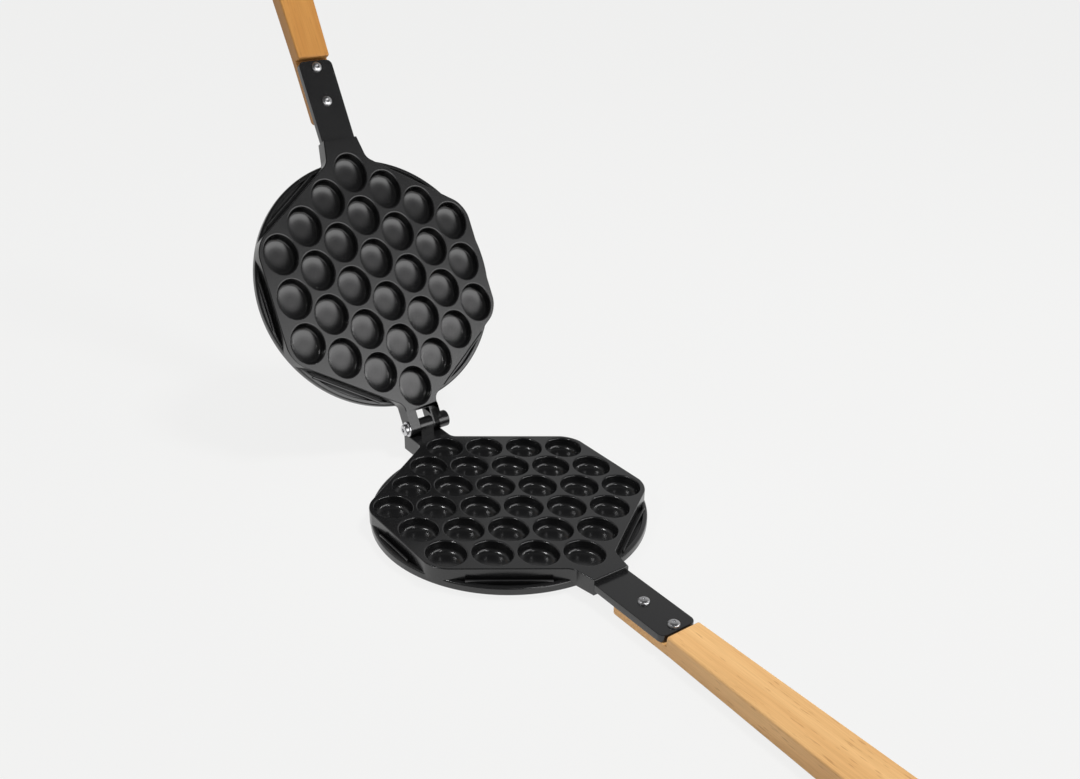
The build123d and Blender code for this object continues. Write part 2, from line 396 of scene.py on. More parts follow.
def moved(piece: bpy.types.Object, place: tuple[float, float, float] = (0, 0, 0), turn: float = 0.0,
          axis: str = "Y") -> bpy.types.Object:
    """Turn a piece about an axis through the origin, move it, and set both in its mesh.

    Args:
        piece: The piece.
        place: How far it moves.
        turn: How far it turns, in degrees.
        axis: The axis that it turns about.

    Returns:
        The same piece.
    """
    take_up(piece)
    piece.matrix_world = Matrix.Translation(place) @ Matrix.Rotation(math.radians(turn), 4, axis)
    bpy.ops.object.transform_apply(location=True, rotation=True, scale=True)
    return piece


def join_solid(body: bpy.types.Object, tool: bpy.types.Object, how: Joining) -> None:
    """Join a second solid to a body, and remove the second one.

    Args:
        body: The solid that stays.
        tool: The solid that is used up.
        how: How they are joined.
    """
    modifier = body.modifiers.new("joining", "BOOLEAN")
    modifier.operation = how.value
    modifier.solver = "EXACT"
    modifier.object = tool
    take_up(body)
    bpy.ops.object.modifier_apply(modifier=modifier.name)
    bpy.data.objects.remove(tool, do_unlink=True)


def copies(pattern: bpy.types.Object, places: list[tuple[float, float]]) -> bpy.types.Object:
    """Copy a pattern to each place and make the copies one piece.

    Args:
        pattern: The piece at the origin, which is used up.
        places: X and y of each copy.

    Returns:
        The joined copies.
    """
    made = []
    for x, y in places:
        take_up(pattern)
        bpy.ops.object.duplicate()
        bpy.ops.transform.translate(value=(x, y, 0))
        made.append(bpy.context.object)
    bpy.data.objects.remove(pattern, do_unlink=True)
    free_bench()
    for piece in made:
        piece.select_set(True)
    bpy.context.view_layer.objects.active = made[0]
    bpy.ops.object.join()
    bpy.ops.object.transform_apply(location=True, rotation=True, scale=True)
    return bpy.context.object


def soften(piece: bpy.types.Object, width: float, steps: int = 2, angle: float = 35.0) -> None:
    """Round all the sharp edges of a piece.

    Args:
        piece: The piece.
        width: How far the rounding reaches.
        steps: Number of faces across it.
        angle: Least angle of an edge that is rounded, in degrees.
    """
    take_up(piece)
    modifier = piece.modifiers.new("softened", "BEVEL")
    modifier.width = width
    modifier.segments = steps
    modifier.limit_method = "ANGLE"
    modifier.angle_limit = math.radians(angle)
    modifier.harden_normals = False
    bpy.ops.object.modifier_apply(modifier=modifier.name)


def settle(piece: bpy.types.Object, name: str, facing: Matrix, smooth: float = 32.0) -> bpy.types.Object:
    """Put a finished piece in its place, in metres, with clean outward faces and smooth shading.

    Args:
        piece: The piece, in millimetres.
        name: Its final name.
        facing: The transform to its place.
        smooth: Angle in degrees below which faces run smoothly into each other.

    Returns:
        The same piece.
    """
    take_up(piece)
    piece.name = name
    piece.data.name = name
    piece.matrix_world = facing
    bpy.ops.object.transform_apply(location=True, rotation=True, scale=True)
    bpy.ops.object.mode_set(mode="EDIT")
    bpy.ops.mesh.select_all(action="SELECT")
    bpy.ops.mesh.remove_doubles(threshold=0.004 * MM)
    bpy.ops.mesh.normals_make_consistent(inside=False)
    bpy.ops.object.mode_set(mode="OBJECT")
    bpy.ops.object.shade_smooth_by_angle(angle=math.radians(smooth))
    weighted = piece.modifiers.new("weighted", "WEIGHTED_NORMAL")
    weighted.keep_sharp = True
    weighted.weight = 80
    bpy.ops.object.modifier_apply(modifier=weighted.name)
    return piece


class Nodes:
    """The node tree of a material or a world, with short ways to add and link its nodes."""

    def __init__(self, owner: bpy.types.Material | bpy.types.World, ending: str = "ShaderNodeOutputMaterial") -> None:
        """Empty the tree and add its output.

        Args:
            owner: The material or world.
            ending: Type of the output node.
        """
        owner.use_nodes = True
        self.owner = owner
        self.tree = owner.node_tree
        self.tree.nodes.clear()
        self.output = self.tree.nodes.new(ending)

    def add(self, kind: str, **values: object) -> bpy.types.Node:
        """Add a node.

        Args:
            kind: The node's type.
            **values: Attributes, or the values of inputs named with spaces as underscores.

        Returns:
            The node.
        """
        node = self.tree.nodes.new(kind)
        for key, value in values.items():
            label = key.replace("_", " ")
            if hasattr(node, key):
                setattr(node, key, value)
            else:
                node.inputs[label].default_value = value
        return node

    def link(self, source: bpy.types.NodeSocket, target: bpy.types.NodeSocket) -> None:
        """Link an output to an input."""
        self.tree.links.new(source, target)

    def ramp(self, source: bpy.types.NodeSocket, stops: list[tuple[float, tuple[float, float, float]]]) -> bpy.types.NodeSocket:
        """Add a colour ramp.

        Args:
            source: The value that it reads.
            stops: Position and colour of each stop.

        Returns:
            Its colour output.
        """
        node = self.tree.nodes.new("ShaderNodeValToRGB")
        elements = node.color_ramp.elements
        while len(elements) < len(stops):
            elements.new(0.5)
        for element, (position, colour) in zip(elements, stops):
            element.position = position
            element.color = (*colour, 1.0)
        self.link(source, node.inputs["Fac"])
        return node.outputs["Color"]

    def seen_by(self, *kinds: str) -> bpy.types.NodeSocket:
        """Add a value that is 1 for rays of some kinds.

        Args:
            *kinds: Names of the light path's outputs.

        Returns:
            The value.
        """
        rays = self.tree.nodes.new("ShaderNodeLightPath")
        found = rays.outputs[kinds[0]]
        for kind in kinds[1:]:
            either = self.add("ShaderNodeMath", operation="MAXIMUM")
            self.link(found, either.inputs[0])
            self.link(rays.outputs[kind], either.inputs[1])
            found = either.outputs[0]
        return found

    def mixed(self, share: bpy.types.NodeSocket | float, first: bpy.types.Node, second: bpy.types.Node) -> bpy.types.Node:
        """Mix two shaders.

        Args:
            share: Share of the second one.
            first: The first shader.
            second: The second shader.

        Returns:
            The mixed shader.
        """
        mix = self.tree.nodes.new("ShaderNodeMixShader")
        if isinstance(share, float):
            mix.inputs[0].default_value = share
        else:
            self.link(share, mix.inputs[0])
        self.link(first.outputs[0], mix.inputs[1])
        self.link(second.outputs[0], mix.inputs[2])
        return mix

    def product(self, first: bpy.types.NodeSocket, second: bpy.types.NodeSocket, share: float = 1.0) -> bpy.types.NodeSocket:
        """Multiply a colour by another.

        Args:
            first: The first colour.
            second: The second colour.
            share: How much of the second one is taken.

        Returns:
            The product.
        """
        mix = self.add("ShaderNodeMix", data_type="RGBA", blend_type="MULTIPLY")
        mix.inputs["Factor"].default_value = share
        self.link(first, mix.inputs["A"])
        self.link(second, mix.inputs["B"])
        return mix.outputs["Result"]

    def span(self, source: bpy.types.NodeSocket, low: float, high: float) -> bpy.types.NodeSocket:
        """Map a value from 0 to 1 onto a range.

        Args:
            source: The value.
            low: Result at 0.
            high: Result at 1.

        Returns:
            The mapped value.
        """
        node = self.add("ShaderNodeMapRange", To_Min=low, To_Max=high)
        self.link(source, node.inputs["Value"])
        return node.outputs["Result"]

    def coordinates(self, scale: tuple[float, float, float], turn: tuple[float, float, float] = (0, 0, 0)) -> bpy.types.NodeSocket:
        """Add scaled object coordinates.

        Args:
            scale: Scale along each axis.
            turn: Turn of the pattern, in degrees.

        Returns:
            The coordinates.
        """
        place = self.add("ShaderNodeTexCoord")
        turned_first = self.add("ShaderNodeMapping", Rotation=[math.radians(angle) for angle in turn])
        scaled = self.add("ShaderNodeMapping", Scale=scale)
        self.link(place.outputs["Object"], turned_first.inputs["Vector"])
        self.link(turned_first.outputs["Vector"], scaled.inputs["Vector"])
        return scaled.outputs["Vector"]

    def noise(self, where: bpy.types.NodeSocket, scale: float, detail: float = 2.0, roughness: float = 0.5,
              distortion: float = 0.0) -> bpy.types.NodeSocket:
        """Add a noise texture.

        Args:
            where: Its coordinates.
            scale: Its scale.
            detail: Its number of octaves.
            roughness: How strong the finer octaves are.
            distortion: How far it is distorted.

        Returns:
            Its value.
        """
        node = self.add("ShaderNodeTexNoise", Scale=scale, Detail=detail, Roughness=roughness, Distortion=distortion)
        self.link(where, node.inputs["Vector"])
        return node.outputs["Fac"]


@dataclass(frozen=True)
class CoatedCasting:
    """Satin black non-stick coat over cast aluminium."""

    name: str = "coated_casting"
    dark: tuple[float, float, float] = (0.0055, 0.0055, 0.0058)
    light: tuple[float, float, float] = (0.009, 0.009, 0.0094)
    roughness: tuple[float, float] = (0.19, 0.26)
    refraction: float = 1.66
    grain: float = 1500.0
    cloud: float = 38.0
    grain_height: float = 0.00006

    def material(self) -> bpy.types.Material:
        """Return the coat's material."""
        nodes = Nodes(bpy.data.materials.new(self.name))
        where = nodes.coordinates((1, 1, 1))
        grain = nodes.noise(where, self.grain, 3.0, 0.6)
        cloud = nodes.noise(where, self.cloud, 3.0, 0.55)
        blend = nodes.add("ShaderNodeMath", operation="MULTIPLY_ADD")
        nodes.link(grain, blend.inputs[0])
        blend.inputs[1].default_value = 0.55
        shifted = nodes.span(cloud, -0.05, 0.5)
        nodes.link(shifted, blend.inputs[2])
        colour = nodes.ramp(blend.outputs[0], [(0.25, self.dark), (0.75, self.light)])
        shader = nodes.add("ShaderNodeBsdfPrincipled", IOR=self.refraction)
        nodes.link(colour, shader.inputs["Base Color"])
        nodes.link(nodes.span(cloud, *self.roughness), shader.inputs["Roughness"])
        bump = nodes.add("ShaderNodeBump", Strength=0.2, Distance=self.grain_height)
        nodes.link(grain, bump.inputs["Height"])
        nodes.link(bump.outputs["Normal"], shader.inputs["Normal"])
        nodes.link(shader.outputs["BSDF"], nodes.output.inputs["Surface"])
        return nodes.owner


@dataclass(frozen=True)
class Beech:
    """Lacquered beech, its grain along the handle."""

    tilt: float
    name: str = "beech_lower"
    pale: tuple[float, float, float] = (0.79, 0.48, 0.205)
    warm: tuple[float, float, float] = (0.67, 0.37, 0.14)
    fleck: tuple[float, float, float] = (0.40, 0.19, 0.06)

    def material(self) -> bpy.types.Material:
        """Return the wood's material."""
        nodes = Nodes(bpy.data.materials.new(self.name))
        turn = (self.tilt, 0, 0)
        bands = nodes.noise(nodes.coordinates((46, 3.2, 30), turn), 1.6, 4.0, 0.55, 0.7)
        fibres = nodes.noise(nodes.coordinates((1700, 28, 1700), turn), 1.0, 3.0, 0.6)
        flecks = nodes.noise(nodes.coordinates((820, 95, 820), turn), 1.0, 1.0, 0.4)
        base = nodes.ramp(bands, [(0.32, self.warm), (0.66, self.pale)])
        strands = nodes.ramp(fibres, [(0.35, (0.86, 0.84, 0.80)), (0.6, (1.0, 1.0, 1.0))])
        stained = nodes.product(base, strands, 0.8)
        spots = nodes.ramp(flecks, [(0.66, (0, 0, 0)), (0.74, (1, 1, 1))])
        flecked = nodes.add("ShaderNodeMix", data_type="RGBA")
        weaker = nodes.add("ShaderNodeMath", operation="MULTIPLY")
        nodes.link(spots, weaker.inputs[0])
        weaker.inputs[1].default_value = 0.55
        nodes.link(weaker.outputs[0], flecked.inputs["Factor"])
        nodes.link(stained, flecked.inputs["A"])
        flecked.inputs["B"].default_value = (*self.fleck, 1)
        shader = nodes.tree.nodes.new("ShaderNodeBsdfPrincipled")
        nodes.link(flecked.outputs["Result"], shader.inputs["Base Color"])
        nodes.link(nodes.span(fibres, 0.42, 0.6), shader.inputs["Roughness"])
        bump = nodes.add("ShaderNodeBump", Strength=0.2, Distance=0.00004)
        nodes.link(fibres, bump.inputs["Height"])
        nodes.link(bump.outputs["Normal"], shader.inputs["Normal"])
        nodes.link(shader.outputs["BSDF"], nodes.output.inputs["Surface"])
        return nodes.owner


@dataclass(frozen=True)
class ShadedBeech(Beech):
    """The beech of the upper handle, with painted shade: the lower beech's colours made darker and more orange where
    less light falls on the upper handle.
    """

    name: str = "beech_upper"
    # Painted shade: these are the lower beech's colours, darkened for the weaker light on the upper handle.
    pale: tuple[float, float, float] = (0.56, 0.27, 0.068)
    warm: tuple[float, float, float] = (0.47, 0.21, 0.048)
    fleck: tuple[float, float, float] = (0.36, 0.145, 0.035)


@dataclass(frozen=True)
class PlatedSteel:
    """Bright plated steel with fine scratches."""

    name: str = "bright_steel"
    pale: tuple[float, float, float] = (0.78, 0.78, 0.79)
    dull: tuple[float, float, float] = (0.60, 0.60, 0.61)

    def material(self) -> bpy.types.Material:
        """Return the steel's material."""
        nodes = Nodes(bpy.data.materials.new(self.name))
        scratches = nodes.noise(nodes.coordinates((900, 5200, 1700)), 1.0, 3.0, 0.6)
        clouds = nodes.noise(nodes.coordinates((1, 1, 1)), 420.0, 2.0)
        shader = nodes.add("ShaderNodeBsdfPrincipled", Metallic=1.0)
        nodes.link(nodes.ramp(clouds, [(0.3, self.dull), (0.7, self.pale)]), shader.inputs["Base Color"])
        nodes.link(nodes.span(scratches, 0.2, 0.42), shader.inputs["Roughness"])
        bump = nodes.add("ShaderNodeBump", Strength=0.25, Distance=0.00003)
        nodes.link(scratches, bump.inputs["Height"])
        nodes.link(bump.outputs["Normal"], shader.inputs["Normal"])
        nodes.link(shader.outputs["BSDF"], nodes.output.inputs["Surface"])
        return nodes.owner


def dress(piece: bpy.types.Object, material: bpy.types.Material, body: str, node: str) -> None:
    """Give a piece its material and its body, and let it stand for its CAD node.

    Args:
        piece: The finished piece.
        material: Its material.
        body: The body that it rides on.
        node: The node that it replaces.
    """
    piece.data.materials.clear()
    piece.data.materials.append(material)
    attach(piece, body)
    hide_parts(node)
    log.info("%s: %d faces, rides on %s", piece.name, len(piece.data.polygons), body)


@dataclass
class CastPlate:
    """One cast plate with its cells, ring, neck, tang and hinge end."""

    level: Level
    sizes: PlateSizes = PLATE
    ring_sides: int = 160
    cell_sides: int = 44
    bump_sides: int = 28
    round_steps: int = 4
    bowl_steps: int = 13
    bump_steps: int = 8
    last_band: float = 88.0

    def build(self) -> bpy.types.Object:
        """Return the finished plate in its place."""
        s = self.sizes
        body = self.disc()
        join_solid(body, self.ribs(), Joining.FUSE)
        join_solid(body, self.plateau(), Joining.FUSE)
        join_solid(body, self.neck_block(), Joining.FUSE)
        join_solid(body, self.tang(), Joining.FUSE)
        if self.level is Level.LOWER:
            join_solid(body, self.lower_arm(), Joining.FUSE)
        else:
            join_solid(body, self.upper_arm(), Joining.FUSE)
        recess = self.recess()
        join_solid(recess, self.bumps(), Joining.CUT)
        join_solid(body, recess, Joining.CUT)
        join_solid(body, self.cells(), Joining.CUT)
        if self.level is Level.LOWER:
            join_solid(body, self.knuckle(), Joining.FUSE)
            join_solid(body, self.axis_rod("bore", s.bolt_radius + s.bolt_play, -s.knuckle_width, s.knuckle_width), Joining.CUT)
        return settle(body, self.level.value + "_plate_casting", self.level.facing())

    def disc(self) -> bpy.types.Object:
        """Return the disc with its rim and foot."""
        s = self.sizes
        edge = s.soft_edge
        floor_radius = s.ring_radius - s.rim_width
        profile = [(s.foot_radius - edge, -s.depth), (s.foot_radius, -s.depth + edge), (s.foot_radius, -s.ring_drop)]
        profile += [(s.ring_radius - edge, -s.ring_drop), (s.ring_radius, -s.ring_drop + edge)]
        profile += arc((s.ring_radius - s.rim_edge, -s.rim_drop - s.rim_edge), s.rim_edge, 0, 90, self.round_steps)
        profile += [(floor_radius + edge, -s.rim_drop), (floor_radius, -s.rim_drop - edge), (floor_radius, -s.pocket_drop)]
        return turned("disc", profile, self.ring_sides)

    def ribs(self) -> bpy.types.Object:
        """Return the six ribs, each along a side of the hexagon and ending at the rim."""
        s = self.sizes
        made = []
        slant = math.degrees(math.atan2(s.slant_y, s.slant_x))
        reach = s.ring_radius - s.rim_edge
        for turn, side in ((0, s.side_distance), (180, s.side_distance), (slant, s.slant_distance),
                           (-slant, s.slant_distance), (180 - slant, s.slant_distance), (180 + slant, s.slant_distance)):
            inner = side + s.rib_offset - s.rib_width / 2
            outer = inner + s.rib_width
            half = math.sqrt(reach**2 - outer**2)
            rib = block("rib", (inner, -half, -s.pocket_drop - s.soft_edge), (outer, half, -s.rib_drop), s.rib_width / 3)
            made.append(moved(rib, turn=turn, axis="Z"))
        free_bench()
        for rib in made:
            rib.select_set(True)
        bpy.context.view_layer.objects.active = made[0]
        bpy.ops.object.join()
        return bpy.context.object

    def plateau(self) -> bpy.types.Object:
        """Return the raised hexagon, level with the tops of the neck and the hinge arm."""
        s = self.sizes
        side, tip = s.side_distance, s.slant_at(0, s.slant_distance)
        corner = s.slant_at(side, s.slant_distance)
        free_bench()
        bpy.ops.mesh.primitive_circle_add(vertices=6, radius=1, fill_type="NGON")
        piece = bpy.context.object
        bpy.ops.object.mode_set(mode="EDIT")
        bpy.ops.mesh.select_all(action="SELECT")
        bpy.ops.transform.resize(value=(side / math.cos(math.radians(30)), tip, 1), center_override=(0, 0, 0))
        pick(piece, Selecting.POINTS, lambda at: abs(at[0].x) > side / 2)
        bpy.ops.transform.resize(value=(1, corner / (tip / 2), 1), center_override=(0, 0, 0))
        turn = math.acos(s.slant_x)
        bpy.ops.mesh.bevel(offset=s.corner_radius * math.tan(turn / 2), segments=10, affect="VERTICES")

        # Neck towards the handle, tapering to its end
        root_y = s.slant_at(s.neck_root_half_width, s.slant_distance)
        pick(piece, Selecting.POINTS, lambda at: at[0].y < -tip + s.soft_edge)
        bpy.ops.mesh.bevel(offset=s.neck_root_half_width / s.slant_y, segments=1, affect="VERTICES")
        pick(piece, Selecting.EDGES, lambda at: max(p.y for p in at) < -root_y + s.soft_edge)
        bpy.ops.mesh.extrude_edges_move(TRANSFORM_OT_translate={"value": (0, root_y - s.neck_end, 0)})
        bpy.ops.transform.resize(value=(s.neck_half_width / s.neck_root_half_width, 1, 1), center_override=(0, 0, 0))
        taper = math.atan2(s.neck_root_half_width - s.neck_half_width, s.neck_end - root_y)
        neck_turn = math.pi / 2 - math.asin(s.slant_x) - taper
        self.fillet_roots(piece, -root_y, s.neck_fillet * math.tan(neck_turn / 2))

        # Arm towards the hinge
        arm_y = s.slant_at(s.arm_half_width, s.slant_distance)
        pick(piece, Selecting.POINTS, lambda at: at[0].y > tip - s.soft_edge)
        bpy.ops.mesh.bevel(offset=s.arm_half_width / s.slant_y, segments=1, affect="VERTICES")
        pick(piece, Selecting.EDGES, lambda at: min(p.y for p in at) > arm_y - s.soft_edge)
        bpy.ops.mesh.extrude_edges_move(TRANSFORM_OT_translate={"value": (0, s.slot_root - arm_y, 0)})
        self.fillet_roots(piece, arm_y, s.arm_fillet * math.tan(turn / 2))

        # Depth, and the rounded edge of the parting face
        bpy.ops.mesh.select_all(action="SELECT")
        bpy.ops.mesh.extrude_region_move(TRANSFORM_OT_translate={"value": (0, 0, -s.pocket_drop - 0.2)})
        bpy.ops.mesh.select_all(action="SELECT")
        bpy.ops.mesh.normals_make_consistent(inside=False)
        pick(piece, Selecting.EDGES, lambda at: min(p.z for p in at) > -s.soft_edge)
        bpy.ops.mesh.bevel(offset=s.plateau_edge, segments=3, affect="EDGES")
        bpy.ops.object.mode_set(mode="OBJECT")
        return piece

    def fillet_roots(self, piece: bpy.types.Object, y: float, offset: float) -> None:
        """Merge the faces of an outline and round the two inner corners at y.

        Args:
            piece: The flat outline in edit mode.
            y: Where the two corners are.
            offset: How far the rounding reaches along the sides.
        """
        bpy.ops.mesh.select_mode(type="FACE")
        bpy.ops.mesh.select_all(action="SELECT")
        bpy.ops.mesh.dissolve_faces()
        pick(piece, Selecting.POINTS, lambda at: abs(at[0].y - y) < self.sizes.soft_edge)
        bpy.ops.mesh.bevel(offset=offset, segments=6, affect="VERTICES")

    def neck_block(self) -> bpy.types.Object:
        """Return the full depth of the neck, which tapers to its end."""
        s = self.sizes
        root_y = s.slant_at(s.neck_root_half_width, s.slant_distance)
        piece = block("neck", (-s.neck_root_half_width, -s.neck_end, -s.neck_depth), (s.neck_root_half_width, -root_y, -s.plateau_edge))
        take_up(piece, editing=True)
        pick(piece, Selecting.POINTS, lambda at: at[0].y < -s.neck_end + s.soft_edge)
        bpy.ops.transform.resize(value=(s.neck_half_width / s.neck_root_half_width, 1, 1), center_override=(0, 0, 0))
        pick(piece, Selecting.EDGES, lambda at: max(p.z for p in at) < -s.neck_depth + s.soft_edge)
        bpy.ops.mesh.bevel(offset=s.soft_edge, segments=2, affect="EDGES")
        bpy.ops.object.mode_set(mode="OBJECT")
        return piece

    def tang(self) -> bpy.types.Object:
        """Return the tang with its rounded end corners and screw holes."""
        s = self.sizes
        top = -s.tang_drop
        piece = block("tang", (-s.tang_half_width, -s.tang_end, top - s.tang_thickness), (s.tang_half_width, -s.neck_end + s.soft_edge, top))
        take_up(piece, editing=True)
        pick(piece, Selecting.EDGES, lambda at: max(p.y for p in at) < -s.tang_end + s.soft_edge and abs(at[0].x - at[1].x) < s.soft_edge)
        bpy.ops.mesh.bevel(offset=s.tang_corner, segments=6, affect="EDGES")
        pick(piece, Selecting.EDGES, lambda at: min(p.z for p in at) > top - s.soft_edge or max(p.z for p in at) < top - s.tang_thickness + s.soft_edge)
        bpy.ops.mesh.bevel(offset=s.soft_edge, segments=2, affect="EDGES")
        bpy.ops.object.mode_set(mode="OBJECT")
        hole_top, hole_end = top + s.soft_edge, top - s.tang_thickness - s.soft_edge
        radius = s.screw_radius + s.screw_play
        hole = turned("hole", [(radius, hole_end), (radius, hole_top)], 24)
        join_solid(piece, copies(hole, [(0, -s.inner_screw), (0, -s.outer_screw)]), Joining.CUT)
        return piece

    def lower_arm(self) -> bpy.types.Object:
        """Return the solid arm that carries the knuckle."""
        s = self.sizes
        half = s.arm_half_width - 0.02
        piece = block("arm", (-half, s.slot_root - 2 * s.plateau_edge, -s.ring_drop), (half, s.arm_end, 0), s.plateau_edge, 3)
        under = block("under_arm", (-half, s.recess_radius, -s.fork_depth), (half, s.slot_root, -s.pocket_drop + s.soft_edge), s.soft_edge)
        join_solid(piece, under, Joining.FUSE)
        return piece

    def knuckle(self) -> bpy.types.Object:
        """Return the knuckle that stands on the arm."""
        s = self.sizes
        half = s.knuckle_width / 2
        piece = self.axis_rod("knuckle", s.ear_radius, -half, half)
        stem = block("stem", (-half, s.hinge_y - s.ear_radius, -1), (half, s.hinge_y + s.ear_radius, s.hinge_rise))
        join_solid(piece, stem, Joining.FUSE)
        soften(piece, s.soft_edge, 2, 50.0)
        return piece

    def axis_rod(self, name: str, radius: float, low: float, high: float) -> bpy.types.Object:
        """Return a round rod about the hinge axis of the flat plate.

        Args:
            name: Name of the rod.
            radius: Its radius.
            low: X of its left end.
            high: X of its right end.

        Returns:
            The rod.
        """
        s = self.sizes
        rise = s.hinge_rise if self.level is Level.LOWER else -s.ear_radius
        rod = turned(name, [(radius, low), (radius, high)], 64)
        return moved(rod, (0, s.hinge_y, rise), 90, "Y")

    def upper_arm(self) -> bpy.types.Object:
        """Return the fork with its stop flats, its slot and the closed boss."""
        s = self.sizes
        half = s.arm_half_width - 0.02
        fall = math.radians(HINGE["range_deg"][1] - 90)
        stop_y = s.hinge_y + s.ear_radius * math.cos(fall)
        stop_drop = s.ear_radius + s.ear_radius * math.sin(fall)
        piece = block("fork", (-half, s.slot_root - 2 * s.plateau_edge, -s.fork_depth), (half, s.hinge_y, 0))
        nose = block("nose", (-half, s.hinge_y - 1, -s.fork_depth), (half, stop_y, -s.ear_radius))
        take_up(nose, editing=True)
        bpy.ops.mesh.select_all(action="SELECT")
        bpy.ops.mesh.bisect(plane_co=(0, stop_y, -stop_drop), plane_no=(0, math.cos(fall), -math.sin(fall)), use_fill=True, clear_outer=True)
        bpy.ops.object.mode_set(mode="OBJECT")
        join_solid(piece, nose, Joining.FUSE)
        join_solid(piece, self.axis_rod("ears", s.ear_radius, -half, half), Joining.FUSE)
        slot_half = s.knuckle_width / 2 + s.side_play
        slot = block("slot", (-slot_half, s.slot_root, -s.depth), (slot_half, s.arm_end + s.ear_radius, s.hinge_rise))
        join_solid(piece, slot, Joining.CUT)
        under = block("under_arm", (-half, s.recess_radius, -s.fork_depth), (half, s.slot_root - 1, -s.pocket_drop + s.soft_edge))
        join_solid(piece, under, Joining.FUSE)
        soften(piece, s.plateau_edge, 3, 50.0)
        edge = 2 * s.soft_edge
        end = s.arm_half_width + s.boss_length
        profile = [(s.boss_radius, s.slot_root * 0 + s.arm_half_width - 3), (s.boss_radius, end - edge)]
        profile += arc((s.boss_radius - edge, end - edge), edge, 0, 90, 4)[1:]
        boss = moved(turned("boss", profile, 64), (0, s.hinge_y, -s.ear_radius), -90, "Y")
        join_solid(piece, boss, Joining.FUSE)
        bore = self.axis_rod("bore", s.bolt_radius + s.bolt_play, -end + s.bolt_end_wall, s.arm_half_width + 1)
        join_solid(piece, bore, Joining.CUT)
        return piece

    def recess(self) -> bpy.types.Object:
        """Return the space inside the foot, with a rounded inner corner."""
        s = self.sizes
        corner = 2.0
        profile = [(s.recess_radius + s.soft_edge, -s.depth - s.soft_edge), (s.recess_radius + s.soft_edge, -s.depth)]
        profile += [(s.recess_radius, -s.depth + s.soft_edge)]
        profile += arc((s.recess_radius - corner, -s.slab - corner), corner, 0, 90, self.round_steps)
        return turned("recess", profile, self.ring_sides)

    def egg(self, name: str, size: tuple[float, float, float], top: list[tuple[float, float]], drop: float,
            bands: tuple[int, int]) -> bpy.types.Object:
        """Return the lower part of a cell's egg shape, full at the sides and nearly flat in its middle.

        Args:
            name: Name of the piece.
            size: Its half width, depth and fullness, which is 2 for an ellipse.
            top: Profile points above the egg shape.
            drop: How far below the parting face the egg shape starts.
            bands: Number of bands and of sides.

        Returns:
            The solid.
        """
        s = self.sizes
        radius, depth, fullness = size
        steps, sides = bands
        share = 2 / fullness
        start = math.asin((drop / depth) ** (1 / share))
        end = math.radians(self.last_band)
        profile = list(top)
        for step in range(steps + 1):
            angle = start + (end - start) * step / steps
            profile.append((radius * math.cos(angle) ** share, -depth * math.sin(angle) ** share))
        piece = turned(name, profile, sides)
        take_up(piece, editing=True)
        bpy.ops.mesh.select_all(action="SELECT")
        bpy.ops.transform.resize(value=(1, s.bowl_length_share, 1), center_override=(0, 0, 0))
        bpy.ops.object.mode_set(mode="OBJECT")
        return piece

    def cells(self) -> bpy.types.Object:
        """Return all the cells, each with a softly rounded rim."""
        s = self.sizes
        rim = arc((s.cell_half_width + s.cell_rim, 0.01 - s.cell_rim), s.cell_rim, 90, 180, self.round_steps)
        rim = [(rim[0][0], s.cell_rim)] + rim
        size = (s.cell_half_width, s.cell_depth, s.cell_fullness)
        cell = self.egg("cell", size, rim, 2 * s.cell_rim, (self.bowl_steps, self.cell_sides))
        return copies(cell, s.cell_places())

    def bumps(self) -> bpy.types.Object:
        """Return the backs of all the cells."""
        s = self.sizes
        size = (s.bump_half_width, s.bump_depth, s.bump_fullness)
        bump = self.egg("bump", size, [], s.slab - s.soft_edge, (self.bump_steps, self.bump_sides))
        return copies(bump, s.cell_places())


@dataclass
class HandleSizes:
    """Sizes of a wooden handle and its fasteners in millimetres."""

    length: float = 191.6
    drop: float = 1.5
    gap: float = 2.0
    root_thickness: float = 13.0
    end_thickness: float = 14.6
    root_half_width: float = 12.6
    end_half_width: float = 16.0
    edge: float = 2.5
    end_corner: float = 7.0
    tongue_length: float = 47.5
    tongue_corner: float = 3.0
    shoulder_edge: float = 1.5
    screw_head_radius: float = 3.8
    screw_head_height: float = 2.1
    screw_tip_gap: float = 0.8
    nut_radius: float = 4.5
    nut_thickness: float = 4.2
    nut_inset: float = 0.3
    nut_end_wall: float = 0.9

    @property
    def shoulder(self) -> float:
        """Distance of the wood's shoulder from the plate's centre."""
        return PLATE.tang_end + self.gap

    @property
    def end(self) -> float:
        """Distance of the handle's end from the plate's centre."""
        return self.shoulder + self.length

    @property
    def tongue_end(self) -> float:
        """Distance of the tongue's end from the plate's centre."""
        return self.shoulder - self.tongue_length

    @property
    def back(self) -> float:
        """Drop of the wood's back at the shoulder."""
        return self.drop + self.root_thickness

    @property
    def tang_back(self) -> float:
        """Drop of the tang's back."""
        return PLATE.tang_drop + PLATE.tang_thickness

    @property
    def nut_seat(self) -> float:
        """Drop of the nuts' inner faces."""
        return self.back - self.nut_inset - self.nut_thickness

    @property
    def nut_bore_end(self) -> float:
        """Drop of the bottom of a nut's bore."""
        return self.back - self.nut_inset - self.nut_end_wall


